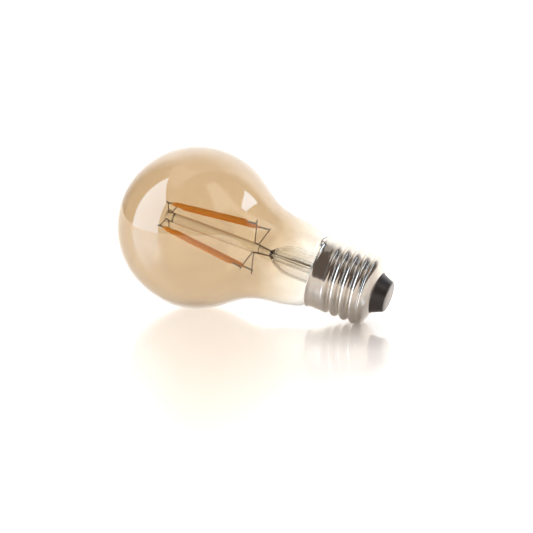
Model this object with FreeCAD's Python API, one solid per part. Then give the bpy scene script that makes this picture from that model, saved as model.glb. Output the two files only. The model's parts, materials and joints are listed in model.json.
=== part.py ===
import FreeCAD, Part
import math
import os
from FreeCAD import Vector as V

# Smart LED filament lamp: A60 amber glass bulb on an E27 screw cap, lying on its side on a flat surface.
# Row frame: +Z up from the surface, +X along the lamp towards its cap, origin on the surface under the middle of the lamp's box.
# Every piece is first made in the lamp's own frame: its axis is Z, a station s runs down the axis in millimetres from
# the globe's centre (crown at s = -30, cap rim at s = 48.5, centre contact at s = 75.5), and z = -s.
# The whole lamp is then tipped over so that the globe and the last thread crest both touch the surface.

# ---------------------------------------------------------------- driving dimensions, mm
GLOBE_R = 30.0            # A60 globe
GLASS_T = 0.7             # bulb wall
RIM_S = 48.5              # station of the cap's rim
TIP_S = 75.5              # station of the centre contact's face, 27 mm below the rim
NECK_END_S = 52.8         # where the neck is sealed to the stem's flare, inside the cap
NECK_END_R = 11.25

PITCH = 3.629             # E27 thread, 7 turns to the inch
CREST_R = 13.1
ROOT_R = 11.85
COLLAR_R = 12.88
RIM_R = 13.3
SHELL_T = 0.25
THREAD_S0, THREAD_S1 = 51.9, 66.7
CREST_S = 66.2            # station of the last crest on the side that touches the surface
SHELL_HOLE_R = 7.5        # opening in the shell's end for the insulator

CONTACT_R = 5.35
FLAT_R = 3.4              # flat middle of the centre contact
SHANK_R = 1.4

FLARE_R = 5.6             # clear stem tube
FLARE_T = 0.9
PRESS_S = 29.2            # top of the press seal
ROD_R = 1.9               # glass post that carries the filaments' tops
ROD_TOP_S = -10.3
BEAD_TOP_S = -13.6

FIL_PHASE = -25.5         # degrees about the axis, first filament
FIL_TOP = (-10.8, 6.45)   # station and distance from the axis, ends of the phosphor
FIL_BOT = (19.6, 11.0)
FIL_W, FIL_H = 1.95, 1.55
STRIP_W, STRIP_H = 0.90, 0.40
PIN_W, PIN_H = 0.62, 0.26
WIRE_R = 0.20             # nickel support wire
LEAD_R = 0.22             # dumet and hook-up wire

BOARD_S = (56.6, 68.2)
BOARD_W = 19.4
BOARD_T = 1.0

os.makedirs("parts", exist_ok=True)

# ---------------------------------------------------------------- helpers
def at(s, r=0.0, deg=0.0):
    """A point of the lamp's own frame from its station, distance from the axis and angle."""
    t = math.radians(deg)
    return V(r * math.cos(t), r * math.sin(t), -s)


done = {}


def keep(name, shape):
    """Puts a finished piece in the row frame and remembers it."""
    s = shape.copy()
    s.Placement = PLACE.multiply(s.Placement)
    done[name] = s


def solid_of(shape):
    """The solids of a boolean result as one shape."""
    sols = shape.Solids
    return sols[0] if len(sols) == 1 else Part.makeCompound(sols)


def revolve(edges):
    face = Part.Face(Part.Wire(edges))
    return face.revolve(V(0, 0, 0), V(0, 0, 1), 360)


def pt(s, r):
    return V(r, 0, -s)


def spline(points, start=None, end=None):
    c = Part.BSplineCurve()
    if start is None and end is None:
        c.interpolate([pt(*p) for p in points])
    else:
        c.interpolate(Points=[pt(*p) for p in points], InitialTangent=start, FinalTangent=end)
    return c.toShape()


def line(a, b):
    return Part.makeLine(pt(*a), pt(*b))


def rod(s0, s1, r):
    return Part.makeCylinder(r, abs(s1 - s0), V(0, 0, -max(s0, s1)), V(0, 0, 1))


def ring(s0, s1, r_in, r_out):
    return rod(s0, s1, r_out).cut(rod(s0 - 1, s1 + 1, r_in))


def box(x0, x1, y0, y1, s0, s1):
    return Part.makeBox(x1 - x0, y1 - y0, s1 - s0, V(x0, y0, -s1))


def tube(points, r, bend):
    """Round wire along straight runs joined by tangent arcs."""
    pts = [V(*p) for p in points]
    edges, last = [], pts[0]
    for i in range(1, len(pts) - 1):
        a, b, c = pts[i - 1], pts[i], pts[i + 1]
        u, w = (a - b).normalize(), (c - b).normalize()
        turn = math.pi - u.getAngle(w)
        if turn < 1e-4:
            continue
        cut = min(bend * math.tan(turn / 2), 0.45 * (b - a).Length, 0.45 * (c - b).Length)
        rad = cut / math.tan(turn / 2)
        p, q = b + u * cut, b + w * cut
        bis = (u + w).normalize()
        centre = b + bis * math.hypot(cut, rad)
        mid = centre - bis * rad
        edges.append(Part.makeLine(last, p))
        edges.append(Part.Arc(p, mid, q).toShape())
        last = q
    edges.append(Part.makeLine(last, pts[-1]))
    path = Part.Wire(edges)
    direction = (pts[1] - pts[0]).normalize()
    profile = Part.Wire(Part.makeCircle(r, pts[0], direction))
    s = path.makePipeShell([profile], True, False)
    return Part.makeSolid(s) if s.ShapeType != "Solid" else s


# ---------------------------------------------------------------- glass bulb
# The crown is a true sphere; the neck narrows through a soft waist and turns in under the cap's rim.
S_TAN = 16.5


def sphere_edge(radius, s_tan):
    r_tan = math.sqrt(radius * radius - s_tan * s_tan)
    mid = math.radians(45)
    return Part.Arc(pt(-radius, 0), pt(-radius * math.sin(mid), radius * math.cos(mid)), pt(s_tan, r_tan)).toShape(), r_tan


NECK = [(20.0, 22.62), (22.5, 20.86), (25.0, 19.35), (27.5, 18.18), (30.0, 17.35), (33.0, 16.70), (36.0, 16.30),
        (39.0, 15.88), (42.0, 15.28), (44.5, 14.62), (46.2, 13.98), (47.4, 13.25), (48.3, 12.60), (49.3, 12.00),
        (50.3, 11.52)]


def neck_points(offset):
    """The neck's outline moved inwards by offset, square to itself."""
    full = [(S_TAN, math.sqrt(GLOBE_R ** 2 - S_TAN ** 2))] + NECK + [(51.3, NECK_END_R)]
    out = []
    for i in range(1, len(full) - 1):
        ds, dr = full[i + 1][0] - full[i - 1][0], full[i + 1][1] - full[i - 1][1]
        n = math.hypot(ds, dr)
        out.append((full[i][0] + offset * dr / n, full[i][1] - offset * ds / n))
    return out


def bulb_body(offset, end_s):
    """Solid of revolution inside the bulb's outline, offset inwards."""
    radius = GLOBE_R - offset
    s_tan = S_TAN * radius / GLOBE_R
    arc, r_tan = sphere_edge(radius, s_tan)
    t0 = V(-s_tan, 0, -r_tan).normalize()
    pts = [(s_tan, r_tan)] + neck_points(offset) + [(51.3, NECK_END_R - offset)]
    neck = spline(pts, t0, V(0, 0, -1))
    r_end = NECK_END_R - offset
    return revolve([arc, neck, line((51.3, r_end), (end_s, r_end)), line((end_s, r_end), (end_s, 0)), line((end_s, 0), (-radius, 0))])


envelope = bulb_body(0.0, NECK_END_S).cut(bulb_body(GLASS_T, NECK_END_S + 1.0))
envelope = solid_of(envelope)
INNER_END_R = NECK_END_R - GLASS_T

# ---------------------------------------------------------------- stem: flared tube with press seal, exhaust tube, post
WELD_S = 32.1             # underside of the press, where the exhaust tube is welded on
flare_outer = [(PRESS_S, 1.15), (29.75, 1.55), (30.4, 2.05), (31.4, 3.0), (32.8, 4.02), (34.6, 4.85), (36.9, 5.36), (40.0, 5.58), (43.0, FLARE_R), (46.2, 5.68)]
flare_foot = [(48.3, 6.30), (49.9, 7.55), (51.0, 8.90), (51.7, 9.90), (52.0, INNER_END_R)]
flare_in_foot = [(52.3, 9.45), (51.5, 8.25), (50.4, 6.90), (48.7, 5.55), (46.2, 4.82)]
flare_inner = [(43.0, FLARE_R - FLARE_T), (40.0, 4.64), (37.2, 4.40), (35.2, 3.94), (33.6, 3.22), (32.4, 2.55), (WELD_S, 2.35)]
outer = spline(flare_outer + flare_foot)
inner = spline([(NECK_END_S, 10.05)] + flare_in_foot + flare_inner)
flare = revolve([
    outer,
    line((52.0, INNER_END_R), (NECK_END_S, INNER_END_R)),
    line((NECK_END_S, INNER_END_R), (NECK_END_S, 10.05)),
    inner,
    line((WELD_S, 2.35), (WELD_S, 0)),
    line((WELD_S, 0), (PRESS_S, 0)),
    line((PRESS_S, 0), (PRESS_S, 1.15)),
])
EXH_R, EXH_BORE, EXH_END_S = 2.1, 1.5, 55.6
# The exhaust tube's bore runs on into the press and leads out through a small side hole.
flare = flare.cut(rod(31.1, WELD_S + 0.5, 0.75))
side_hole = Part.makeCylinder(0.4, 6.0, at(31.55), V(math.cos(math.radians(200)), math.sin(math.radians(200)), 0.10))
flare = flare.cut(side_hole)
exhaust = revolve([
    line((WELD_S, EXH_BORE), (WELD_S, EXH_R)),
    line((WELD_S, EXH_R), (53.6, EXH_R)),
    spline([(53.6, EXH_R), (54.5, 1.75), (55.2, 1.0), (EXH_END_S, 0.0)]),
    line((EXH_END_S, 0), (54.6, 0)),
    spline([(54.6, 0.0), (54.2, 0.7), (53.4, 1.35), (52.8, EXH_BORE)]),
    line((52.8, EXH_BORE), (WELD_S, EXH_BORE)),
])
post = revolve([
    line((ROD_TOP_S, 0), (ROD_TOP_S, ROD_R - 0.25)),
    Part.Arc(pt(ROD_TOP_S, ROD_R - 0.25), pt(ROD_TOP_S + 0.073, ROD_R - 0.073), pt(ROD_TOP_S + 0.25, ROD_R)).toShape(),
    line((ROD_TOP_S + 0.25, ROD_R), (23.2, ROD_R)),
    spline([(23.2, ROD_R), (23.9, 1.72), (24.5, 1.25), (25.2, 1.1)]),
    line((25.2, 1.1), (PRESS_S, 1.1)),
    line((PRESS_S, 1.1), (PRESS_S, 0)),
    line((PRESS_S, 0), (ROD_TOP_S, 0)),
])
bead = revolve([
    line((ROD_TOP_S, 0), (ROD_TOP_S, 1.45)),
    spline([(ROD_TOP_S, 1.45), (-11.0, 2.15), (-12.0, 2.45), (-12.9, 2.15), (-13.4, 1.2), (BEAD_TOP_S, 0.0)]),
    line((BEAD_TOP_S, 0), (ROD_TOP_S, 0)),
])

# ---------------------------------------------------------------- filaments
filament_angles = [FIL_PHASE + 90 * k for k in range(4)]


def filament_frame(deg):
    """Placement whose Z runs from the filament's top end to its bottom end, with Y pointing away from the lamp's axis."""
    top, bot = at(FIL_TOP[0], FIL_TOP[1], deg), at(FIL_BOT[0], FIL_BOT[1], deg)
    z = (bot - top).normalize()
    t = math.radians(deg)
    y = V(math.cos(t), math.sin(t), 0)
    x = y.cross(z).normalize()
    y = z.cross(x).normalize()
    m = FreeCAD.Matrix(x.x, y.x, z.x, top.x, x.y, y.y, z.y, top.y, x.z, y.z, z.z, top.z, 0, 0, 0, 1)
    return FreeCAD.Placement(m), (bot - top).Length


def oval(w, h, z):
    e = Part.Ellipse(V(0, 0, 0), w / 2, h / 2).toShape()
    e.translate(V(0, 0, z))
    return Part.Wire(e)


_, FIL_L = filament_frame(0)


def cbox(w, h, z0, z1):
    return Part.makeBox(w, h, z1 - z0, V(-w / 2, -h / 2, z0))


strip_blank = cbox(STRIP_W, STRIP_H, 0.35, FIL_L - 0.35)
pin_slots = [cbox(PIN_W, PIN_H, -2.2, 1.6), cbox(PIN_W, PIN_H, FIL_L - 1.6, FIL_L + 3.6)]
strip = strip_blank.cut(pin_slots[0]).cut(pin_slots[1])
phosphor = Part.makeLoft([oval(0.95, 0.72, 0), oval(FIL_W, FIL_H, 1.7), oval(FIL_W, FIL_H, FIL_L - 1.7), oval(0.95, 0.72, FIL_L)], True, True)
phosphor = solid_of(phosphor.cut(strip_blank).cut(pin_slots[0]).cut(pin_slots[1]))

# ---------------------------------------------------------------- support wires
# Lower support wires leave the press, run up the post's thin end and turn out to the filaments' lower pins.
LOW_S = [22.75, 23.35, 22.75, 23.35]
low_wires = []
pin_dir = (at(*FIL_BOT) - at(*FIL_TOP)).normalize()
for k, deg in enumerate(filament_angles):
    # distance from the axis of the filament's own centre line at the wire's station
    slope = (FIL_BOT[1] - FIL_TOP[1]) / (FIL_BOT[0] - FIL_TOP[0])
    r_pin = FIL_BOT[1] + slope * (LOW_S[k] - FIL_BOT[0])
    t = math.radians(deg)
    side = V(-math.sin(t), math.cos(t), 0) * (PIN_W / 2 + WIRE_R + 0.012)
    p0 = at(30.75, 1.20, deg)
    p1 = at(28.6, 1.38, deg)
    p2 = at(24.9, 2.05, deg)
    p2b = at(LOW_S[k] + 0.1, 2.30, deg)
    p3 = at(LOW_S[k], 6.0, deg) + side * 0.9
    p4 = at(LOW_S[k], r_pin + 1.4, deg) + side
    low_wires.append(tube([p0, p1, p2, p2b, p3, p4], WIRE_R, 0.7))

# Top anchors: each is one wire through the bead that joins two filaments' upper pins and ends in a small hook at each.
TOP_S = -12.15
slope = (FIL_BOT[1] - FIL_TOP[1]) / (FIL_BOT[0] - FIL_TOP[0])
r_top = FIL_TOP[1] + slope * (TOP_S - FIL_TOP[0])
anchors = []
for pair in ((0, 1), (2, 3)):
    pts = []
    for n, k in enumerate(pair):
        deg = filament_angles[k]
        t = math.radians(deg)
        tangent = V(-math.sin(t), math.cos(t), 0)
        sgn = -1 if n == 0 else 1
        side = tangent * (sgn * (PIN_W / 2 + WIRE_R + 0.03))
        hook = [at(TOP_S - 1.0, r_top + 0.95, deg) + side * 1.0, at(TOP_S, r_top + 0.75, deg) + side, at(TOP_S, 1.5, deg) + tangent * (sgn * 0.1)]
        pts.append(hook)
    middle = at(TOP_S, 0.95, (filament_angles[pair[0]] + filament_angles[pair[1]]) / 2)
    anchors.append(tube(pts[0] + [middle] + pts[1][::-1], WIRE_R * 0.9, 0.5))

# Dumet leads: from the press down the hollow stem to the driver board.
LEAD_A_DEG, LEAD_B_DEG = -62.0, 118.0
leads = []
for deg, x_board in ((LEAD_A_DEG, 4.6), (LEAD_B_DEG, -4.6)):
    p = [at(30.6, 1.75, deg), at(31.3, 2.20, deg), at(33.4, 2.72, deg), at(37.0, 3.0, deg), at(41.0, 3.5, deg), at(47.0, 3.35, deg), at(53.0, 4.1, deg), V(x_board, 0.0, -(BOARD_S[0] - 1.4)), V(x_board, 0.0, -BOARD_S[0])]
    leads.append(tube(p, LEAD_R, 2.0))
antenna = tube([at(36.6, 3.35, 75), at(42.0, 3.45, 80), at(50.0, 3.6, 85), V(1.2, 2.6, -54.6), V(3.0, -1.9, -56.95)], 0.28, 2.0)

for w in low_wires:
    flare = flare.cut(w)
for w in leads:
    flare = flare.cut(w)
for w in anchors:
    bead = bead.cut(w)
flare = solid_of(flare)
bead = solid_of(bead)

# ---------------------------------------------------------------- E27 screw shell: thin rolled sheet with a helical thread
BODY = [(RIM_S, RIM_R - 0.10), (48.62, RIM_R), (48.82, RIM_R - 0.05), (49.05, 13.09), (49.35, 12.94), (49.75, COLLAR_R), (50.6, COLLAR_R),
        (THREAD_S0, COLLAR_R)]
# Envelope of the thread's crests over the shoulder, down to the insulator.
SHOULDER = [(THREAD_S1, CREST_R), (67.3, 12.97), (67.9, 12.62), (68.5, 12.02), (69.05, 11.22), (69.5, 10.36), (69.9, 9.42), (70.25, 8.55), (70.48, 7.95),
            (70.62, SHELL_HOLE_R)]
DEPTH_R = CREST_R - ROOT_R


def smooth(x):
    x = min(1.0, max(0.0, x))
    return x * x * (3 - 2 * x)


def wave(theta, s):
    """1 on the thread's crest, -1 in its root. The crest passes the side that rests on the surface, theta = pi, at CREST_S."""
    w = math.cos(2 * math.pi * (s - CREST_S) / PITCH + (theta - math.pi))
    return w + 0.18 * (1 - w * w)


def thread_start(theta):
    """Station where the thread begins: first on the upper side, later and later down the near side, run out at the back."""
    turn = (math.radians(-16) - theta) % (2 * math.pi) / (2 * math.pi)
    if turn < 0.75:
        return THREAD_S0 + 6.0 * turn
    return THREAD_S0 + 4.5 * smooth((1 - turn) / 0.25)


def shell_r(theta, s, crest=None):
    """Outside radius of the screw shell on its threaded stretch."""
    fade_in, fade_out = smooth((s - thread_start(theta)) / 2.6), 1 - smooth((s - THREAD_S1) / 1.9)
    if crest is None:
        crest = COLLAR_R + (CREST_R - COLLAR_R) * smooth((s - THREAD_S0) / 6.0)
    return crest - DEPTH_R * fade_in * fade_out * (1 - wave(theta, s)) / 2


EXTRA = 5


def shell_points(inset):
    n_theta = 72
    n = 56
    rows = []
    for s, r in BODY[:-1]:
        rows.append((s, lambda th, r=r: r))
    for i in range(n + 1):
        s = THREAD_S0 + (THREAD_S1 - THREAD_S0) * i / n
        rows.append((s, lambda th, s=s: shell_r(th, s)))
    for s, r in SHOULDER[1:]:
        rows.append((s, lambda th, s=s, r=r: shell_r(th, s, r)))
    # inward normal of the outline, so that the sheet keeps its thickness on the shoulder
    grid = []
    for j in range(-EXTRA, n_theta + EXTRA + 1):
        th = 2 * math.pi * j / n_theta
        radii = [f(th) for _, f in rows]
        col = []
        for i, (s, _) in enumerate(rows):
            r = radii[i]
            if inset and 0 < i < len(rows) - 1:
                ds, dr = rows[i + 1][0] - rows[i - 1][0], radii[i + 1] - radii[i - 1]
                m = math.hypot(ds, dr)
                s2, r2 = s + inset * dr / m, r - inset * ds / m
            elif inset and i == 0:
                s2, r2 = s, r - inset
            elif inset:
                s2, r2 = s, r
            else:
                s2, r2 = s, r
            if inset and i == len(rows) - 1:
                s2, r2 = s - inset, r
            col.append(V(r2 * math.cos(th), r2 * math.sin(th), -s2))
        grid.append(col)
    return grid


def skin(grid):
    """Smooth closed surface: the grid runs past one turn at both ends, and the surplus is cut away."""
    b = Part.BSplineSurface()
    b.interpolate(grid)
    knots = b.getUKnots()
    _, _, v_lo, v_hi = b.bounds()
    b.segment(knots[EXTRA], knots[-1 - EXTRA], v_lo, v_hi)
    n_v = b.NbVPoles
    for k in range(1, n_v + 1):
        b.setPole(b.NbUPoles, k, b.getPole(1, k))
    return b.toShape()


def end_wire(face, top):
    """The face's end loop at its top (rim) or bottom."""
    loops = [e for e in face.Edges if e.isClosed()]
    loops.sort(key=lambda e: e.CenterOfMass.z)
    return Part.Wire([loops[-1] if top else loops[0]])


outer_skin, inner_skin = skin(shell_points(0.0)), skin(shell_points(SHELL_T))
rim_face = Part.makeRuledSurface(end_wire(outer_skin, True), end_wire(inner_skin, True))
lip_face = Part.makeRuledSurface(end_wire(outer_skin, False), end_wire(inner_skin, False))
shell = Part.makeShell([outer_skin, inner_skin] + rim_face.Faces + lip_face.Faces)
shell.sewShape()
cap_shell = Part.makeSolid(shell)
if cap_shell.Volume < 0:
    cap_shell.reverse()
cap_shell.fix(1e-5, 1e-6, 1e-3)

# ---------------------------------------------------------------- placement in the row frame
# The lamp tips until the screw shell's last crest comes down to the same level as the globe's underside.
outline = outer_skin.Surface
u0, u1, v0, v1 = outline.bounds()
down = [outline.value(u0 + (u1 - u0) * 0.5, v0 + (v1 - v0) * i / 1500) for i in range(1501)]


def lowest(tilt):
    return max(-p.z * math.sin(tilt) + math.hypot(p.x, p.y) * math.cos(tilt) for p in down)


lo, hi = math.radians(5), math.radians(30)
for _ in range(60):
    TILT = (lo + hi) / 2       # axis below horizontal, towards the cap
    if lowest(TILT) > GLOBE_R:
        hi = TILT
    else:
        lo = TILT
X_LO = -GLOBE_R
contact_arc = Part.Arc(pt(75.12, CONTACT_R - 0.14), pt(75.38, 4.4), pt(TIP_S, FLAT_R)).toShape()
X_HI = max(-p.z * math.cos(TILT) + p.x * math.sin(TILT) for p in contact_arc.discretize(400))
GX = -(X_LO + X_HI) / 2
PLACE = FreeCAD.Placement(V(GX, 0, GLOBE_R), FreeCAD.Rotation(V(0, 1, 0), -(90 - math.degrees(TILT))))

# ---------------------------------------------------------------- insulator, centre contact
insulator = revolve([
    line((69.4, SHANK_R), (69.4, 7.9)),
    line((69.4, 7.9), (70.12, 7.38)),
    line((70.12, 7.38), (70.64, 7.36)),
    spline([(70.64, 7.36), (71.4, 7.02), (72.4, 6.58), (73.6, 6.05), (74.9, 5.52)]),
    line((74.9, 5.52), (74.9, SHANK_R)),
    line((74.9, SHANK_R), (69.4, SHANK_R)),
])
contact = revolve([
    line((74.9, SHANK_R), (74.9, CONTACT_R)),
    Part.Arc(pt(74.9, CONTACT_R), pt(75.02, CONTACT_R - 0.03), pt(75.12, CONTACT_R - 0.14)).toShape(),
    contact_arc,
    line((TIP_S, FLAT_R), (TIP_S, 0)),
    line((TIP_S, 0), (70.2, 0)),
    line((70.2, 0), (70.2, SHANK_R)),
    line((70.2, SHANK_R), (74.9, SHANK_R)),
])
live_hole = rod(69.0, 72.0, 0.30)
contact = contact.cut(live_hole)

# ---------------------------------------------------------------- capping cement, side lead, solder
cement = ring(51.3, 52.15, NECK_END_R, COLLAR_R - SHELL_T - 0.07)
SIDE_DEG = -29.7

# ---------------------------------------------------------------- driver board and its parts, inside an insulating sleeve
sleeve = ring(54.6, 68.3, 10.95, 11.25)
bw = BOARD_W / 2
board = box(-bw, bw, -BOARD_T / 2, BOARD_T / 2, *BOARD_S)
for sx in (-1, 1):
    corner = [V(sx * bw, -2, -BOARD_S[1]), V(sx * (bw - 2.2), -2, -BOARD_S[1]), V(sx * bw, -2, 2.2 - BOARD_S[1])]
    board = board.cut(Part.Face(Part.makePolygon(corner + corner[:1])).extrude(V(0, 4, 0)))
top_face = BOARD_T / 2
cap_can = Part.makeCylinder(2.75, 8.6, V(-5.0, top_face + 2.76, -66.6), V(0, 0, 1))
cap_can = cap_can.cut(Part.makeTorus(2.95, 0.32, V(-5.0, top_face + 2.76, -65.2), V(0, 0, 1)))
choke_core = Part.makeCylinder(2.6, 0.9, V(4.8, top_face, -60.6), V(0, 1, 0)).fuse(Part.makeCylinder(1.1, 5.4, V(4.8, top_face, -60.6), V(0, 1, 0))).fuse(
    Part.makeCylinder(2.6, 0.9, V(4.8, top_face + 4.5, -60.6), V(0, 1, 0))).removeSplitter()
choke_coil = Part.makeCylinder(2.25, 3.6, V(4.8, top_face + 0.9, -60.6), V(0, 1, 0)).cut(Part.makeCylinder(1.1, 6, V(4.8, top_face, -60.6), V(0, 1, 0)))
bridge = box(2.3, 7.0, top_face, top_face + 2.4, 64.0, 67.4)
resistor = Part.makeCylinder(1.05, 5.2, V(0.0, top_face + 1.35, -66.2), V(0, 0, 1)).fuse(Part.makeCylinder(1.2, 0.8, V(0.0, top_face + 1.35, -66.2), V(0, 0, 1))).fuse(
    Part.makeCylinder(1.2, 0.8, V(0.0, top_face + 1.35, -61.8), V(0, 0, 1))).removeSplitter()
low = -BOARD_T / 2
chip = box(-8.6, -3.7, low - 1.5, low - 0.1, 58.6, 62.5)
chip_legs = []
for i in range(4):
    sx = -8.0 + 1.27 * i
    for s0, s1 in ((57.7, 58.6), (62.5, 63.4)):
        chip_legs.append(box(sx - 0.2, sx + 0.2, low - 0.25, low, s0, s1))
chip_legs = Part.makeCompound(chip_legs)
radio = box(-2.6, 8.6, low - 2.0, low - 1.2, 57.4, 67.0)
radio_pins = Part.makeCompound([box(-2.2 + 0.6 + 1.6 * i - 0.25, -2.2 + 0.6 + 1.6 * i + 0.25, low - 1.2, low, 66.2, 66.7) for i in range(6)])
can = box(-1.6, 6.2, low - 3.7, low - 2.0, 59.4, 66.0).cut(box(-1.4, 6.0, low - 3.5, low - 1.9, 59.6, 65.8))
radio_chip = box(0.2, 4.4, low - 2.9, low - 2.0, 60.6, 64.8)
# live lead: centre contact to the fusible resistor's lower end
live = tube([V(0, 0, -71.6), V(0, 0, -69.6), V(0, top_face + 1.35, -68.0), V(0, top_face + 1.35, -66.22)], LEAD_R, 0.8)
fuse_tail = tube([V(0, top_face + 1.35, -61.0), V(0, top_face + 1.35, -59.2), V(0, top_face, -59.2)], LEAD_R, 0.6)
# neutral lead: board edge, up between the neck's seal and the shell, over the rim and down onto the collar
t = math.radians(SIDE_DEG)


def side_pt(s, r):
    return at(s, r, SIDE_DEG)


neutral = tube([V(bw - 1.2, 0.0, -BOARD_S[0]), V(bw - 1.2, 0.0, -(BOARD_S[0] - 1.0)), side_pt(54.9, 10.2), side_pt(53.9, 11.1), side_pt(53.2, 11.48), side_pt(52.6, 11.60), side_pt(50.6, 11.72), side_pt(49.55, 12.10),
                side_pt(48.35, 12.74)], 0.15, 0.5)
solder = Part.makeSphere(0.55, side_pt(48.0, 13.5))
cement = solid_of(cement.cut(neutral))

# ---------------------------------------------------------------- the kept pieces
keep("glass_envelope", envelope)
keep("stem_flare", flare)
keep("exhaust_tube", exhaust)
keep("stem_post", post)
keep("top_bead", bead)
for k, deg in enumerate(filament_angles):
    pl, _ = filament_frame(deg)
    for name, base in (("filament_phosphor", phosphor), ("filament_substrate", strip)):
        c = base.copy()
        c.Placement = pl.multiply(c.Placement)
        keep(f"{name}_{k + 1}", c)
pins = []
for k, deg in enumerate(filament_angles):
    pl, _ = filament_frame(deg)
    for q in pin_slots:
        c = q.copy()
        c.Placement = pl.multiply(c.Placement)
        pins.append(c)
keep("filament_pins", Part.makeCompound(pins))
for k, w in enumerate(low_wires):
    keep(f"lower_support_wire_{k + 1}", w)
for k, w in enumerate(anchors):
    keep(f"top_anchor_{k + 1}", w)
keep("lead_in_wire_live", leads[0])
keep("lead_in_wire_return", leads[1])
keep("antenna_wire", antenna)
keep("cap_shell", cap_shell)
keep("cap_insulator", insulator)
keep("centre_contact", contact)
keep("capping_cement", cement)
keep("rim_solder", solder)
keep("neutral_lead", neutral)
keep("live_lead", live)
keep("board_sleeve", sleeve)
keep("driver_board", board)
keep("smoothing_capacitor", cap_can)
keep("choke_core", choke_core)
keep("choke_winding", choke_coil)
keep("bridge_rectifier", bridge)
keep("fusible_resistor", resistor)
keep("resistor_tail", fuse_tail)
keep("driver_chip", chip)
keep("driver_chip_legs", chip_legs)
keep("radio_board", radio)
keep("radio_header_pins", radio_pins)
keep("radio_shield_can", can)
keep("radio_chip", radio_chip)

for name, s in done.items():
    ok = all(q.isValid() and q.isClosed() for q in s.Solids) and len(s.Solids) > 0
    b = s.BoundBox
    print(f"{name:24s} solids {len(s.Solids)} valid {ok} vol {s.Volume:9.2f}  x {b.XMin:7.2f} {b.XMax:7.2f}  y {b.YMin:7.2f} {b.YMax:7.2f}  z {b.ZMin:7.2f} {b.ZMax:7.2f}")
    s.exportStep(f"parts/{name}.step")
axis = PLACE.Rotation.multVec(V(0, 0, -1))
tip = PLACE.multVec(at(TIP_S))
rim = PLACE.multVec(at(RIM_S))
print('tilt', math.degrees(TILT), 'globe centre x', GX)
print('axis', tuple(axis), 'contact', tuple(tip), 'rim', tuple(rim))
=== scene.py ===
import json
import math

import bmesh
import bpy
import numpy as np
from mathutils import Matrix, Vector

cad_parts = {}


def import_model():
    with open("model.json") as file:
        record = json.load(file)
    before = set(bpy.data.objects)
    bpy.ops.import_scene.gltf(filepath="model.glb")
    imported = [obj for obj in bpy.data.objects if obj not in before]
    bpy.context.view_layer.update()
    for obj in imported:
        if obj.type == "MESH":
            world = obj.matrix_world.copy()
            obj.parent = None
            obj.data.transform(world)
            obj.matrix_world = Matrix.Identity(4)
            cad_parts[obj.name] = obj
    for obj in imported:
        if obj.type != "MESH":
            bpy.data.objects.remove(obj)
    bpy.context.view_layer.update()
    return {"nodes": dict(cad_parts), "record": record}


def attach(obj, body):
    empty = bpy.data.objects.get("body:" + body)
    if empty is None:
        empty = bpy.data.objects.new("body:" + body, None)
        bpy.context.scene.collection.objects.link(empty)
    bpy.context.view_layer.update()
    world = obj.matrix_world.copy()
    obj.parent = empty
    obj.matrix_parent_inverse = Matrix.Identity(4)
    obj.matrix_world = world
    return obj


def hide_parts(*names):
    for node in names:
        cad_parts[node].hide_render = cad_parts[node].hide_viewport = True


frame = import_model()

nodes = frame["nodes"]
rng = np.random.default_rng(7)

# ------------------------------------------------------------------ the lamp's own frame
# Stations s run down the lamp's axis in millimetres from the globe's centre; theta is 0 on the lamp's upper side, 90 degrees at the back.
TILT = math.radians(15.172572463726834)
GX = -21.95411555133643
GLOBE_R, GLASS_T = 30.0, 0.7
RIM_S, TIP_S = 48.5, 75.5


def world(x, y, s):
    """Points of the lamp's own frame, millimetres, in the row frame, metres."""
    x, y, s = np.broadcast_arrays(np.asarray(x, float), np.asarray(y, float), np.asarray(s, float))
    return np.stack([(GX + x * math.sin(TILT) + s * math.cos(TILT)) / 1000, y / 1000, (30 + x * math.cos(TILT) - s * math.sin(TILT)) / 1000], -1)


def at(s, r, deg):
    t = math.radians(deg)
    return np.array([r * math.cos(t), r * math.sin(t), s], float)


def spline(points, n, start=None, end=None):
    """Smooth curve through points, by chord length. start and end are unit tangents, or None for a natural end."""
    p = np.array(points, float)
    u = np.concatenate([[0], np.cumsum(np.linalg.norm(np.diff(p, axis=0), axis=1))])
    m, h = len(p), np.diff(u)
    a, b = np.zeros((m, m)), np.zeros((m, p.shape[1]))
    for i in range(1, m - 1):
        a[i, i - 1], a[i, i], a[i, i + 1] = h[i], 2 * (h[i] + h[i - 1]), h[i - 1]
        b[i] = 3 * (h[i] * (p[i] - p[i - 1]) / h[i - 1] + h[i - 1] * (p[i + 1] - p[i]) / h[i])
    for i, j, t in ((0, 1, start), (m - 1, m - 2, end)):
        if t is None:
            a[i, i], a[i, j] = 2, 1
            b[i] = 3 * (p[j] - p[i]) / (u[j] - u[i])
        else:
            a[i, i] = 1
            b[i] = np.array(t, float) / np.linalg.norm(t)
    d = np.linalg.solve(a, b)
    q = np.linspace(0, u[-1], n)
    k = np.clip(np.searchsorted(u, q, side="right") - 1, 0, m - 2)
    t = ((q - u[k]) / h[k])[:, None]
    hk = h[k][:, None]
    return (2 * t**3 - 3 * t**2 + 1) * p[k] + (t**3 - 2 * t**2 + t) * hk * d[k] + (-2 * t**3 + 3 * t**2) * p[k + 1] + (t**3 - t**2) * hk * d[k + 1]


def mesh_object(name, verts, faces, smooth=True):
    me = bpy.data.meshes.new(name)
    me.from_pydata([tuple(v) for v in verts], [], [tuple(int(i) for i in f) for f in faces])
    me.validate()
    bm = bmesh.new()
    bm.from_mesh(me)
    bmesh.ops.recalc_face_normals(bm, faces=bm.faces)
    bm.to_mesh(me)
    bm.free()
    o = bpy.data.objects.new(name, me)
    bpy.context.scene.collection.objects.link(o)
    if smooth:
        me.polygons.foreach_set("use_smooth", [True] * len(me.polygons))
    me.update()
    return o


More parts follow.
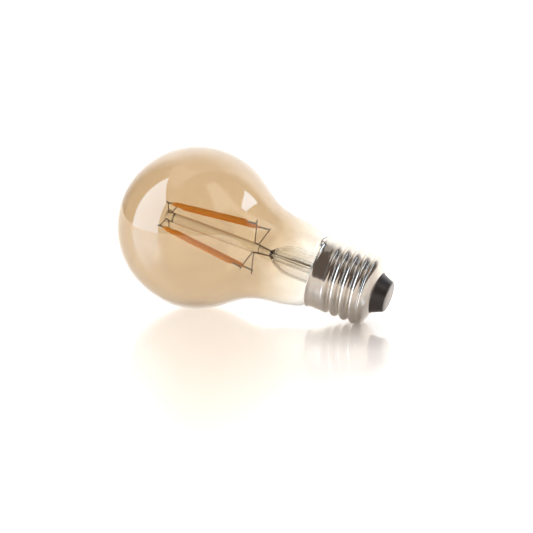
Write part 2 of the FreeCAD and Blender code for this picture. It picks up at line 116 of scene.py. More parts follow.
def revolve_mesh(name, outline, n=192, sharp=None):
    """Solid of revolution from a closed outline of (s, r). Points on the axis become single vertices."""
    verts, rings = [], []
    th = 2 * math.pi * np.arange(n) / n
    for s, r in outline:
        if r < 1e-6:
            rings.append([len(verts)])
            verts.append(world(0, 0, s))
        else:
            rings.append(list(range(len(verts), len(verts) + n)))
            verts.extend(world(r * np.cos(th), r * np.sin(th), s))
    faces = []
    m = len(rings)
    for i in range(m):
        a, b = rings[i], rings[(i + 1) % m]
        if len(a) == 1 and len(b) == 1:
            continue
        for k in range(n):
            k2 = (k + 1) % n
            if len(a) == 1:
                faces.append((a[0], b[k], b[k2]))
            elif len(b) == 1:
                faces.append((a[k], b[0], a[k2]))
            else:
                faces.append((a[k], b[k], b[k2], a[k2]))
    o = mesh_object(name, verts, faces)
    if sharp:
        sharpen(o, sharp)
    return o


def sharpen(o, deg):
    """Splits shading at edges bent by more than deg."""
    me = o.data
    bm = bmesh.new()
    bm.from_mesh(me)
    for e in bm.edges:
        if len(e.link_faces) == 2 and e.calc_face_angle(0) > math.radians(deg):
            e.smooth = False
    bm.to_mesh(me)
    bm.free()


def tube_mesh(name, path, radius, n=16, cap=True):
    """Round wire along a dense path of local points. radius is a number or one per point."""
    p = np.array(path, float)
    rad = np.broadcast_to(np.asarray(radius, float), (len(p),))
    tan = np.gradient(p, axis=0)
    tan /= np.linalg.norm(tan, axis=1)[:, None]
    ref = np.array([0.0, 0.0, 1.0]) if abs(tan[0][2]) < 0.9 else np.array([1.0, 0.0, 0.0])
    nrm = np.cross(tan[0], ref)
    nrm /= np.linalg.norm(nrm)
    verts, faces = [], []
    th = 2 * math.pi * np.arange(n) / n
    for i in range(len(p)):
        if i:
            v = tan[i - 1] + tan[i]
            nrm = nrm - tan[i] * (nrm @ tan[i])
            nrm /= np.linalg.norm(nrm)
        bi = np.cross(tan[i], nrm)
        ring = p[i] + rad[i] * (np.cos(th)[:, None] * nrm + np.sin(th)[:, None] * bi)
        verts.extend(world(ring[:, 0], ring[:, 1], ring[:, 2]))
    m = len(p)
    for i in range(m - 1):
        for k in range(n):
            k2 = (k + 1) % n
            faces.append((i * n + k, i * n + k2, (i + 1) * n + k2, (i + 1) * n + k))
    if cap:
        for i, tip in ((0, p[0] - tan[0] * rad[0] * 0.4), (m - 1, p[-1] + tan[-1] * rad[-1] * 0.4)):
            c = len(verts)
            verts.append(world(*tip))
            for k in range(n):
                faces.append((i * n + k, i * n + (k + 1) % n, c))
    return mesh_object(name, verts, faces)


def place(o, slot, *replaced):
    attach(o, "root")
    if replaced:
        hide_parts(*replaced)
    return o


# ------------------------------------------------------------------ materials
def new_mat(name):
    m = bpy.data.materials.new(name)
    m.use_nodes = True
    nt = m.node_tree
    bsdf = next(n for n in nt.nodes if n.type == "BSDF_PRINCIPLED")
    return m, nt, bsdf


def node(nt, kind, **inputs):
    n = nt.nodes.new(kind)
    for k, v in inputs.items():
        if hasattr(n, k):
            setattr(n, k, v)
        else:
            n.inputs[k.replace("_", " ")].default_value = v
    return n


def coords(nt, scale=(1000, 1000, 1000)):
    """Object coordinates in millimetres."""
    tc = nt.nodes.new("ShaderNodeTexCoord")
    mp = nt.nodes.new("ShaderNodeMapping")
    mp.inputs["Scale"].default_value = scale
    nt.links.new(tc.outputs["Object"], mp.inputs["Vector"])
    return mp.outputs["Vector"]


def noise(nt, vec, scale, detail=4, rough=0.5):
    n = nt.nodes.new("ShaderNodeTexNoise")
    n.inputs["Scale"].default_value = scale
    n.inputs["Detail"].default_value = detail
    n.inputs["Roughness"].default_value = rough
    nt.links.new(vec, n.inputs["Vector"])
    return n.outputs["Fac"]


def ramp(nt, fac, stops):
    r = nt.nodes.new("ShaderNodeValToRGB")
    el = r.color_ramp.elements
    while len(el) < len(stops):
        el.new(0.5)
    for e, (pos, col) in zip(el, stops):
        e.position = pos
        e.color = tuple(col) + (1,) if len(col) == 3 else tuple(col)
    nt.links.new(fac, r.inputs["Fac"])
    return r.outputs["Color"]


def map_range(nt, fac, lo, hi, a, b):
    r = nt.nodes.new("ShaderNodeMapRange")
    r.inputs["From Min"].default_value, r.inputs["From Max"].default_value = lo, hi
    r.inputs["To Min"].default_value, r.inputs["To Max"].default_value = a, b
    nt.links.new(fac, r.inputs["Value"])
    return r.outputs["Result"]


def bump(nt, bsdf, height, strength, distance):
    b = nt.nodes.new("ShaderNodeBump")
    b.inputs["Strength"].default_value = strength
    b.inputs["Distance"].default_value = distance
    nt.links.new(height, b.inputs["Height"])
    nt.links.new(b.outputs["Normal"], bsdf.inputs["Normal"])


def math_node(nt, op, a, b=None, c=None):
    n = nt.nodes.new("ShaderNodeMath")
    n.operation = op
    for i, v in enumerate((a, b, c)):
        if v is None:
            continue
        if isinstance(v, (int, float)):
            n.inputs[i].default_value = v
        else:
            nt.links.new(v, n.inputs[i])
    return n.outputs[0]


def lamp_coords(nt):
    """Axial station s, then the two coordinates across the axis (towards the upper side, towards the back) of a surface
    point, millimetres.
    """
    tc = nt.nodes.new("ShaderNodeTexCoord")
    mp = nt.nodes.new("ShaderNodeMapping")
    # row frame to lamp frame: move the globe's centre to the origin, then turn about Y
    mp.vector_type = "POINT"
    mp.inputs["Location"].default_value = (0, 0, 0)
    sub = nt.nodes.new("ShaderNodeVectorMath")
    sub.operation = "SUBTRACT"
    sub.inputs[1].default_value = (GX / 1000, 0, 0.03)
    nt.links.new(tc.outputs["Object"], sub.inputs[0])
    outs = []
    for axis in ((math.cos(TILT), 0, -math.sin(TILT)), (math.sin(TILT), 0, math.cos(TILT)), (0, 1, 0)):
        d = nt.nodes.new("ShaderNodeVectorMath")
        d.operation = "DOT_PRODUCT"
        d.inputs[1].default_value = tuple(1000 * c for c in axis)
        nt.links.new(sub.outputs[0], d.inputs[0])
        outs.append(d.outputs["Value"])
    nt.nodes.remove(mp)
    return outs


def simple(name, color, rough=0.5, metallic=0.0, vary=0.12, scale=1.5, bump_mm=0.01, coat=0.0):
    """Procedural finish: colour and roughness vary, with fine relief."""
    m, nt, b = new_mat(name)
    v = coords(nt)
    n1 = noise(nt, v, scale, 5)
    n2 = noise(nt, v, scale * 6, 3)
    lo = tuple(max(0, c * (1 - vary)) for c in color)
    hi = tuple(min(1, c * (1 + vary)) for c in color)
    nt.links.new(ramp(nt, n1, [(0.3, lo), (0.7, hi)]), b.inputs["Base Color"])
    nt.links.new(map_range(nt, n2, 0.3, 0.7, max(0.02, rough - 0.07), min(1, rough + 0.07)), b.inputs["Roughness"])
    b.inputs["Metallic"].default_value = metallic
    if coat:
        b.inputs["Coat Weight"].default_value = coat
        b.inputs["Coat Roughness"].default_value = 0.08
    if bump_mm:
        bump(nt, b, n2, 0.5, bump_mm / 1000)
    return m


AMBER = (0.535, 0.388, 0.226)


def amber_glass():
    """Clear glass whose inside face carries the amber coating. The coating thins out at an uneven line on the neck."""
    m, nt, b = new_mat("amber_glass")
    b.inputs["Transmission Weight"].default_value = 1.0
    b.inputs["IOR"].default_value = 1.48
    b.inputs["Roughness"].default_value = 0.0
    b.inputs["Coat Weight"].default_value = 0.15
    b.inputs["Coat IOR"].default_value = 1.75
    b.inputs["Coat Roughness"].default_value = 0.0
    s, up, side = lamp_coords(nt)
    v = coords(nt)
    soft = noise(nt, v, 0.06, 3, 0.55)
    edge = math_node(nt, "MULTIPLY_ADD", math_node(nt, "SUBTRACT", soft, 0.5), 16.0, s)
    fade = map_range(nt, edge, 24.0, 44.0, 0.0, 1.0)
    tint = ramp(nt, fade, [(0.0, AMBER), (0.35, (0.575, 0.44, 0.285)), (0.62, (0.76, 0.66, 0.51)), (0.8, (0.80, 0.74, 0.64)), (1.0, (0.90, 0.875, 0.825))])
    cloud = ramp(nt, soft, [(0.3, (0.965, 0.955, 0.94)), (0.7, (1, 1, 1))])
    mix = nt.nodes.new("ShaderNodeMix")
    mix.data_type = "RGBA"
    mix.blend_type = "MULTIPLY"
    mix.inputs["Factor"].default_value = 1.0
    nt.links.new(tint, mix.inputs["A"])
    nt.links.new(cloud, mix.inputs["B"])
    coat = nt.nodes.new("ShaderNodeAttribute")
    coat.attribute_name = "coated"
    face = nt.nodes.new("ShaderNodeMix")
    face.data_type = "RGBA"
    face.inputs["A"].default_value = (0.99, 0.992, 0.988, 1)
    nt.links.new(coat.outputs["Fac"], face.inputs["Factor"])
    nt.links.new(mix.outputs["Result"], face.inputs["B"])
    nt.links.new(face.outputs["Result"], b.inputs["Base Color"])
    return m


def clear_glass(name, color=(0.985, 0.985, 0.97), rough=0.0, ripple=0.0):
    m, nt, b = new_mat(name)
    b.inputs["Transmission Weight"].default_value = 1.0
    b.inputs["IOR"].default_value = 1.5
    b.inputs["Roughness"].default_value = rough
    v = coords(nt)
    n1 = noise(nt, v, 0.35, 2)
    nt.links.new(ramp(nt, n1, [(0.3, tuple(c * 0.97 for c in color)), (0.7, color)]), b.inputs["Base Color"])
    if ripple:
        bump(nt, b, n1, 0.6, ripple / 1000)
    return m


def nickel():
    m, nt, b = new_mat("nickel_plate")
    b.inputs["Metallic"].default_value = 1.0
    v = coords(nt)
    n1 = noise(nt, v, 0.5, 5)
    n2 = noise(nt, v, 5.0, 4)
    nt.links.new(ramp(nt, n1, [(0.3, (0.74, 0.68, 0.61)), (0.7, (0.82, 0.76, 0.685))]), b.inputs["Base Color"])
    nt.links.new(map_range(nt, n2, 0.3, 0.7, 0.10, 0.19), b.inputs["Roughness"])
    bump(nt, b, n2, 0.2, 0.003 / 1000)
    return m


def phosphor():
    m, nt, b = new_mat("phosphor_silicone")
    v = coords(nt)
    n1 = noise(nt, v, 0.9, 4)
    n2 = noise(nt, v, 9.0, 3)
    nt.links.new(ramp(nt, n1, [(0.3, (0.96, 0.38, 0.05)), (0.7, (1.0, 0.47, 0.08))]), b.inputs["Base Color"])
    # painted glow: the phosphor gives off a faint orange light of its own, though the lamp is not lit
    b.inputs["Emission Color"].default_value = (1.0, 0.36, 0.04, 1)
    b.inputs["Emission Strength"].default_value = 0.25
    b.inputs["Roughness"].default_value = 0.6
    b.inputs["Specular IOR Level"].default_value = 0.25
    b.inputs["Subsurface Weight"].default_value = 0.0
    bump(nt, b, n2, 0.5, 0.03 / 1000)
    return m


MATS = {
    "amber_glass": amber_glass(),
    "clear_glass": clear_glass("clear_glass", (0.995, 0.99, 0.975), 0.0, 0.05),
    "post_glass": clear_glass("post_glass", (0.99, 0.98, 0.94)),
    "phosphor": phosphor(),
    "filament_ceramic": simple("filament_ceramic", (0.85, 0.82, 0.75), 0.4),
    "filament_pin_steel": simple("filament_tab_steel", (0.50, 0.47, 0.44), 0.32, 1.0, scale=3),
    "support_wire_metal": simple("support_wire_metal", (0.33, 0.26, 0.20), 0.38, 1.0, scale=3),
    "lead_wire_metal": simple("lead_wire_metal", (0.30, 0.22, 0.17), 0.4, 1.0, scale=3),
    "antenna_sheath": simple("antenna_sheath", (0.05, 0.042, 0.038), 0.45, scale=3),
    "cap_nickel": nickel(),
    "insulator_black": simple("insulator_black", (0.052, 0.041, 0.038), 0.34, scale=2.5, bump_mm=0.012, coat=0.14),
    "contact_metal": simple("contact_metal", (0.425, 0.40, 0.38), 0.38, 1.0, scale=2.5, bump_mm=0.008),
    "cement": simple("cement", (0.62, 0.55, 0.42), 0.9, scale=4, bump_mm=0.05),
    "solder": simple("solder", (0.45, 0.44, 0.43), 0.35, 1.0, scale=3, bump_mm=0.02),
    "sleeve_plastic": simple("sleeve_plastic", (0.9, 0.9, 0.88), 0.5),
    "board_green": simple("board_green", (0.03, 0.20, 0.09), 0.35, scale=3),
    "capacitor_sleeve": simple("capacitor_sleeve", (0.02, 0.025, 0.06), 0.3),
    "ferrite": simple("ferrite", (0.06, 0.06, 0.065), 0.7, scale=4),
    "copper_winding": simple("copper_winding", (0.65, 0.30, 0.14), 0.3, 1.0, scale=4),
    "chip_black": simple("chip_black", (0.02, 0.02, 0.022), 0.5, scale=5),
    "resistor_body": simple("resistor_body", (0.22, 0.38, 0.50), 0.35),
    "shield_tin": simple("shield_tin", (0.75, 0.75, 0.76), 0.3, 1.0, scale=3),
}
slot_of = {r["node"]: r["material_slot"] for r in frame["record"]["subparts"]}
for n, o in nodes.items():
    o.data.materials.clear()
    o.data.materials.append(MATS[slot_of[n]])


def dress(o, slot):
    o.data.materials.clear()
    o.data.materials.append(MATS[slot])


# ------------------------------------------------------------------ glass bulb
NECK = [(20.0, 22.62), (22.5, 20.86), (25.0, 19.35), (27.5, 18.18), (30.0, 17.35), (33.0, 16.70), (36.0, 16.30),
        (39.0, 15.88), (42.0, 15.28), (44.5, 14.62), (46.2, 13.98), (47.4, 13.25), (48.3, 12.60), (49.3, 12.00),
        (50.3, 11.52)]
NECK_END_S, NECK_END_R, S_TAN = 52.8, 11.25, 16.5


def bulb_outline(offset, n_arc, n_neck):
    full = [(S_TAN, math.sqrt(GLOBE_R**2 - S_TAN**2))] + NECK + [(51.3, NECK_END_R)]
    pts = []
    for i in range(1, len(full) - 1):
        ds, dr = full[i + 1][0] - full[i - 1][0], full[i + 1][1] - full[i - 1][1]
        n = math.hypot(ds, dr)
        pts.append((full[i][0] + offset * dr / n, full[i][1] - offset * ds / n))
    radius = GLOBE_R - offset
    s_tan = S_TAN * radius / GLOBE_R
    r_tan = math.sqrt(radius**2 - s_tan**2)
    end = math.acos(-s_tan / radius)
    arc = [(-radius * math.cos(a), radius * math.sin(a)) for a in np.linspace(0, end, n_arc)]
    arc[0] = (-radius, 0.0)
    neck = spline([(s_tan, r_tan)] + pts + [(51.3, NECK_END_R - offset)], n_neck, (r_tan, -s_tan), (1, 0))
    return arc + [tuple(p) for p in neck[1:]] + [(NECK_END_S, NECK_END_R - offset)]


outer, inner = bulb_outline(0.0, 84, 72), bulb_outline(GLASS_T, 84, 72)
globe = revolve_mesh("globe_and_neck", outer + inner[::-1], 224, 60)
mark = globe.data.attributes.new("coated", "FLOAT", "POINT")
inside_from = 1 + 224 * (len(outer) - 1)
mark.data.foreach_set("value", [1.0 if i >= inside_from else 0.0 for i in range(len(globe.data.vertices))])
place(globe, "amber_glass", "glass_envelope")
dress(globe, "amber_glass")

# ------------------------------------------------------------------ screw shell
PITCH, CREST_R, ROOT_R, COLLAR_R, RIM_R, SHELL_T = 3.629, 13.1, 11.85, 12.88, 13.3, 0.25
THREAD_S0, THREAD_S1, CREST_S, SHELL_HOLE_R = 51.9, 66.7, 66.2, 7.5
DEPTH_R = CREST_R - ROOT_R
ENVELOPE = [(48.5, 13.2), (48.62, 13.3), (48.82, 13.25), (49.05, 13.09), (49.35, 12.94), (49.75, 12.88), (50.6, 12.88), (51.9, 12.88)]
SHOULDER = [(66.7, 13.1), (67.3, 12.97), (67.9, 12.62), (68.5, 12.02), (69.05, 11.22), (69.5, 10.36), (69.9, 9.42), (70.25, 8.55), (70.48, 7.95), (70.62, 7.5)]


def smooth(x):
    x = np.clip(x, 0, 1)
    return x * x * (3 - 2 * x)


def thread_start(theta):
    """Station where the thread begins: first on the upper side, later and later down the near side, run out at the back."""
    turn = np.mod(math.radians(-16) - theta, 2 * math.pi) / (2 * math.pi)
    return np.where(turn < 0.75, THREAD_S0 + 6.0 * turn, THREAD_S0 + 4.5 * smooth((1 - turn) / 0.25))


ENV_A, ENV_B = spline(ENVELOPE, 200, None, (1, 0)), spline(SHOULDER, 200, (1, 0), None)


def shell_radius(theta, s):
    fade_in, fade_out = smooth((s - thread_start(theta)) / 2.6), 1 - smooth((s - THREAD_S1) / 1.9)
    base = np.where(s < THREAD_S0, np.interp(s, ENV_A[:, 0], ENV_A[:, 1]), COLLAR_R + (CREST_R - COLLAR_R) * smooth((s - THREAD_S0) / 6.0))
    base = np.where(s > THREAD_S1, np.interp(s, ENV_B[:, 0], ENV_B[:, 1]), base)
    w = np.cos(2 * math.pi * (s - CREST_S) / PITCH + (theta - math.pi))
    w = w + 0.18 * (1 - w * w)
    return base - DEPTH_R * fade_in * fade_out * (1 - w) / 2


def cap_mesh():
    n_th = 240
    st = list(np.linspace(48.5, 49.9, 16)) + list(np.linspace(50.0, 66.7, 128)) + [p[0] for p in spline(SHOULDER, 40, (1, 0), None)[1:]]
    th = 2 * math.pi * np.arange(n_th) / n_th
    verts, faces = [], []
    for s in st:
        r = shell_radius(th, np.full(n_th, s))
        verts.extend(world(r * np.cos(th), r * np.sin(th), np.full(n_th, s)))
    # inside of the sheet: the shoulder's outline moved inwards, then the threaded stretch and the rim
    inside = []
    for k in range(len(ENV_B) - 1, 8, -8):
        d = ENV_B[k] - ENV_B[k - 1]
        d = d / np.hypot(*d)
        inside.append((ENV_B[k][0] + SHELL_T * d[1], ENV_B[k][1] - SHELL_T * d[0], True))
    inside = [q for q in inside if q[0] > 66.9]
    inside[0] = (ENV_B[-1][0] - SHELL_T, SHELL_HOLE_R, True)
    inside += [(float(q), 0, False) for q in list(np.linspace(66.6, 52.5, 44)) + [52.0, 51.0, 50.0, 49.2, 48.9, 48.62, 48.5]]
    for s, r0, plain in inside:
        r = np.full(n_th, r0) if plain else shell_radius(th, np.full(n_th, s)) - SHELL_T
        if plain and s < 68.4:
            r = np.minimum(r, shell_radius(th, np.full(n_th, s)) - SHELL_T)
        verts.extend(world(r * np.cos(th), r * np.sin(th), np.full(n_th, s)))
    m = len(st) + len(inside)
    for i in range(m):
        j = (i + 1) % m
        for k in range(n_th):
            k2 = (k + 1) % n_th
            faces.append((i * n_th + k, i * n_th + k2, j * n_th + k2, j * n_th + k))
    return mesh_object("screw_shell", verts, faces)


cap = cap_mesh()
sharpen(cap, 50)
place(cap, "cap_nickel", "cap_shell")
dress(cap, "cap_nickel")

# ------------------------------------------------------------------ insulator and centre contact
side = [tuple(p) for p in spline([(70.66, 7.36), (71.4, 7.02), (72.4, 6.58), (73.6, 6.05), (74.7, 5.60), (74.87, 5.50)], 40)]
ins = revolve_mesh("insulator_cone", [(69.45, 1.4), (69.45, 7.85), (70.15, 7.36), (70.4, 7.40)] + side + [(74.9, 5.42), (74.9, 1.4)], 192, 40)
place(ins, "insulator_black", "cap_insulator")
dress(ins, "insulator_black")
disc = [(74.9, 1.4), (74.9, 5.28), (74.94, 5.34), (75.02, 5.33), (75.12, 5.21)] + [tuple(p) for p in spline([(75.12, 5.21), (75.29, 4.75), (75.38, 4.4), (75.46, 3.9), (75.5, 3.4)], 24)[1:]]
disc += [(75.5, 2.2), (75.5, 1.2), (75.5, 0.0), (70.2, 0.0), (70.2, 1.4)]
con = revolve_mesh("centre_contact_disc", disc, 160, 50)
place(con, "contact_metal", "centre_contact")
dress(con, "contact_metal")

# ------------------------------------------------------------------ stem, exhaust tube, post and bead
WELD_S, PRESS_S, NECK_IN_R = 32.1, 29.2, NECK_END_R - GLASS_T
stem_out = spline([(29.2, 1.15), (29.75, 1.55), (30.4, 2.05), (31.4, 3.0), (32.8, 4.02), (34.6, 4.85), (36.9, 5.36), (40.0, 5.58), (43.0, 5.6), (46.2, 5.68), (48.3, 6.30), (49.9, 7.55), (51.0, 8.90), (51.7, 9.90), (52.0, NECK_IN_R)], 110)
stem_in = spline([(52.8, 10.05), (52.3, 9.45), (51.5, 8.25), (50.4, 6.90), (48.7, 5.55), (46.2, 4.82), (43.0, 4.7), (40.0, 4.64), (37.2, 4.40), (35.2, 3.94), (33.6, 3.22), (32.4, 2.55), (WELD_S, 2.35)], 110)
stem = revolve_mesh("stem_press_and_flare", [(29.2, 0.0)] + [tuple(q) for q in stem_out] + [(52.8, NECK_IN_R)] + [tuple(q) for q in stem_in] + [(WELD_S, 1.4), (WELD_S, 0.75), (31.3, 0.72), (31.1, 0.0)], 128, 50)
place(stem, "clear_glass", "stem_flare")
dress(stem, "clear_glass")
tube_tip = [tuple(q) for q in spline([(53.6, 2.1), (54.5, 1.75), (55.2, 1.0), (55.6, 0.0)], 20)]
tube_in = [tuple(q) for q in spline([(54.6, 0.0), (54.2, 0.7), (53.4, 1.35), (52.8, 1.5)], 14)]
exh = revolve_mesh("exhaust_tube_drawn", [(WELD_S + 0.02, 1.5), (WELD_S + 0.02, 2.1)] + tube_tip + tube_in, 96, 50)
place(exh, "clear_glass", "exhaust_tube")
dress(exh, "clear_glass")
post_end = [tuple(q) for q in spline([(23.2, 1.9), (23.9, 1.72), (24.5, 1.25), (25.2, 1.1)], 16)]
post = revolve_mesh("glass_post", [(-10.3, 0.0), (-10.3, 1.62), (-10.22, 1.80), (-10.05, 1.9)] + [(q, 1.9) for q in np.linspace(-9.5, 23.0, 40)] + post_end + [(29.18, 1.1), (29.18, 0.0)], 96, 50)
place(post, "post_glass", "stem_post")
dress(post, "post_glass")
bead_side = [tuple(q) for q in spline([(-10.33, 1.45), (-11.0, 2.15), (-12.0, 2.45), (-12.9, 2.15), (-13.4, 1.2), (-13.6, 0.0)], 40)]
bead = revolve_mesh("melted_bead", [(-10.33, 0.0)] + bead_side, 96, 60)
place(bead, "post_glass", "top_bead")
dress(bead, "post_glass")

# ------------------------------------------------------------------ filaments: silicone-bodied strips with rounded tapered ends
FIL_TOP, FIL_BOT, FIL_PHASE = (-10.8, 6.45), (19.6, 11.0), -25.5
FIL_W, FIL_H = 1.95, 1.55
for k in range(4):
    deg = FIL_PHASE + 90 * k
    a0, a1 = at(*FIL_TOP, deg), at(*FIL_BOT, deg)
    length = np.linalg.norm(a1 - a0)
    ez = (a1 - a0) / length
    ey = at(0, 1, deg)
    ex = np.cross(ey, ez)
    ex /= np.linalg.norm(ex)
    ey = np.cross(ez, ex)
    zz = np.concatenate([0.35 * (1 - np.cos(np.linspace(0, math.pi / 2, 7))), np.linspace(0.45, length - 0.45, 150), length - 0.35 * (1 - np.sin(np.linspace(0, math.pi / 2, 7)))])
    near = np.minimum(zz, length - zz)
    taper = 0.52 + 0.48 * smooth(near / 2.1)
    taper = taper * np.sqrt(np.clip(1 - (1 - np.minimum(near / 0.35, 1)) ** 2, 0.0025, 1))
    ripple = 1 + 0.018 * np.sin(zz * 2.1 + k) * np.sin(zz * 0.63 + 2.1 * k) + 0.010 * np.sin(zz * 5.3 + 1.7 * k)
    sway = 0.05 * np.sin(zz * 0.31 + 1.3 * k) * smooth(near / 3.0)
    th = 2 * math.pi * np.arange(28) / 28
    cx = np.sign(np.cos(th)) * np.abs(np.cos(th)) ** 0.9
    cy = np.sign(np.sin(th)) * np.abs(np.sin(th)) ** 0.9
    verts, faces = [], []
    for z, f, rp, sw in zip(zz, taper, ripple, sway):
        px = f * rp * (FIL_W / 2 - 0.02) * cx + sw * 0.3
        py = f * rp * (FIL_H / 2 - 0.02) * cy
        q = a0 + px[:, None] * ex + py[:, None] * ey + z * ez
        verts.extend(world(q[:, 0], q[:, 1], q[:, 2]))
    m_r = len(zz)
    for i in range(m_r - 1):
        for j in range(28):
            j2 = (j + 1) % 28
            faces.append((i * 28 + j, i * 28 + j2, (i + 1) * 28 + j2, (i + 1) * 28 + j))
    faces.append(tuple(range(28)))
    faces.append(tuple((m_r - 1) * 28 + j for j in range(28)))
    body = mesh_object(f"phosphor_body_{k + 1}", verts, faces)
    place(body, "phosphor", f"filament_phosphor_{k + 1}")
    dress(body, "phosphor")

# ------------------------------------------------------------------ solder of the side lead on the rim, with its drawn-out tails
def rim_at(s, r, deg):
    return at(s, r, deg)


blob_c = rim_at(48.25, 13.42, -29.0)
u_s, u_r, u_t = np.array([0, 0, 1.0]), at(0, 1, -29.0), np.cross(np.array([0, 0, 1.0]), at(0, 1, -29.0))
verts, faces = [], []
rows, cols = 24, 36
for i in range(rows + 1):
    lat = math.pi * i / rows
    for j in range(cols):
        lon = 2 * math.pi * j / cols
        lump = 1 + 0.10 * math.sin(2 * lon + 1.1) * math.sin(lat) ** 2 + 0.06 * math.sin(3 * lat + lon)
        q = blob_c + lump * (0.66 * math.cos(lat) * u_s + 0.52 * math.sin(lat) * math.cos(lon) * u_t + 0.46 * math.sin(lat) * math.sin(lon) * u_r)
        verts.append(world(*q))
for i in range(rows):
    for j in range(cols):
        j2 = (j + 1) % cols
        faces.append((i * cols + j, i * cols + j2, (i + 1) * cols + j2, (i + 1) * cols + j))
blob = mesh_object("solder_blob", verts, faces)
tail_a = tube_mesh("solder_tail_a", spline([rim_at(48.1, 13.5, -28.0), rim_at(47.75, 13.75, -22.5), rim_at(48.1, 13.95, -13.0), rim_at(48.9, 14.1, -4.5)], 40), np.linspace(0.24, 0.07, 40), 12)
tail_b = tube_mesh("solder_tail_b", spline([rim_at(47.9, 13.7, -23.5), rim_at(48.6, 13.6, -21.5), rim_at(49.5, 13.05, -22.5), rim_at(50.6, 12.85, -24.0)], 40), np.linspace(0.20, 0.10, 40), 12)
bm = bmesh.new()
for o in (blob, tail_a, tail_b):
    bm.from_mesh(o.data)
bm.to_mesh(blob.data)
bm.free()
for o in (tail_a, tail_b):
    bpy.data.objects.remove(o, do_unlink=True)
blob.data.polygons.foreach_set("use_smooth", [True] * len(blob.data.polygons))
place(blob, "solder", "rim_solder")
dress(blob, "solder")

# ------------------------------------------------------------------ stage, light and camera
floor_size = 6.0
floor = mesh_object("floor", [(-floor_size, -floor_size, 0), (floor_size, -floor_size, 0), (floor_size, floor_size, 0), (-floor_size, floor_size, 0)], [(0, 1, 2, 3)], False)
m = bpy.data.materials.new("floor_white")
m.use_nodes = True
nt = m.node_tree
nt.nodes.clear()
out = nt.nodes.new("ShaderNodeOutputMaterial")
# white acrylic: matt white seen from above, glossy at a glancing view; the gloss is mirror-sharp under the lamp and turns satin with distance
diff = nt.nodes.new("ShaderNodeBsdfDiffuse")
diff.inputs["Color"].default_value = (0.50, 0.455, 0.41, 1)
emit = nt.nodes.new("ShaderNodeEmission")
emit.inputs["Color"].default_value = (1, 0.955, 0.91, 1)
add = nt.nodes.new("ShaderNodeAddShader")
nt.links.new(diff.outputs[0], add.inputs[0])
nt.links.new(emit.outputs[0], add.inputs[1])
lw = nt.nodes.new("ShaderNodeLayerWeight")
lw.inputs["Blend"].default_value = 0.5
gloss = map_range(nt, lw.outputs["Facing"], 0.25, 0.68, 0.04, 0.52)
tc = nt.nodes.new("ShaderNodeTexCoord")
sep = nt.nodes.new("ShaderNodeSeparateXYZ")
nt.links.new(tc.outputs["Object"], sep.inputs[0])
dx = math_node(nt, "SUBTRACT", math_node(nt, "ABSOLUTE", sep.outputs["X"]), 0.040)
dx = math_node(nt, "MAXIMUM", dx, 0.0)
dist = math_node(nt, "SQRT", math_node(nt, "ADD", math_node(nt, "POWER", dx, 2.0), math_node(nt, "POWER", math_node(nt, "ABSOLUTE", sep.outputs["Y"]), 2.0)))
sharp = map_range(nt, dist, 0.0, 0.060, 0.85, 0.0)
# painted shade: the floor's emission is weaker close to the lamp, and a painted shadow under the cap lowers it further
glow = map_range(nt, dist, 0.0, 0.20, 0.50, 0.62)
# painted shadow under the cap: the emission drops within 34 mm of the point under the cap's end of the lamp
capx = math_node(nt, "SUBTRACT", sep.outputs["X"], 0.040)
capd = math_node(nt, "SQRT", math_node(nt, "ADD", math_node(nt, "MULTIPLY", capx, capx), math_node(nt, "MULTIPLY", sep.outputs["Y"], sep.outputs["Y"])))
nt.links.new(math_node(nt, "SUBTRACT", glow, map_range(nt, capd, 0.0, 0.034, 0.40, 0.0)), emit.inputs["Strength"])
total = add.outputs[0]
for rough, part in ((0.01, sharp), (0.3, math_node(nt, "SUBTRACT", 1.0, sharp))):
    g = nt.nodes.new("ShaderNodeBsdfGlossy")
    g.inputs["Roughness"].default_value = rough
    amount = math_node(nt, "MULTIPLY", part, gloss)
    tone = nt.nodes.new("ShaderNodeCombineXYZ")
    for k in range(3):
        nt.links.new(amount, tone.inputs[k])
    nt.links.new(tone.outputs[0], g.inputs["Color"])
    sm = nt.nodes.new("ShaderNodeAddShader")
    nt.links.new(total, sm.inputs[0])
    nt.links.new(g.outputs[0], sm.inputs[1])
    total = sm.outputs[0]
nt.links.new(total, out.inputs["Surface"])
floor.data.materials.append(m)

scene = bpy.context.scene
scene.view_settings.view_transform = "Standard"
scene.view_settings.look = "None"
scene.cycles.max_bounces = 24
scene.cycles.transmission_bounces = 20
scene.cycles.glossy_bounces = 8
scene.cycles.transparent_max_bounces = 16
scene.cycles.caustics_refractive = True
scene.cycles.caustics_reflective = True
scene.cycles.blur_glossy = 0.3

w = bpy.data.worlds.new("studio")
scene.world = w
w.use_nodes = True
nt = w.node_tree
nt.nodes.clear()
wout = nt.nodes.new("ShaderNodeOutputWorld")
bg = nt.nodes.new("ShaderNodeBackground")
nt.links.new(bg.outputs[0], wout.inputs["Surface"])
tc = nt.nodes.new("ShaderNodeTexCoord")
norm = nt.nodes.new("ShaderNodeVectorMath")
norm.operation = "NORMALIZE"
nt.links.new(tc.outputs["Generated"], norm.inputs[0])
sep = nt.nodes.new("ShaderNodeSeparateXYZ")
nt.links.new(norm.outputs[0], sep.inputs[0])
X, Y, Z = sep.outputs["X"], sep.outputs["Y"], sep.outputs["Z"]
# White sweep behind and at the sides. The dark side of the studio lies in front, from the horizon up to the zenith.
def smoothstep(value, a, b, lo=0.0, hi=1.0):
    r = nt.nodes.new("ShaderNodeMapRange")
    r.interpolation_type = "SMOOTHSTEP"
    r.inputs["From Min"].default_value, r.inputs["From Max"].default_value = a, b
    r.inputs["To Min"].default_value, r.inputs["To Max"].default_value = lo, hi
    nt.links.new(value, r.inputs["Value"])
    return r.outputs["Result"]


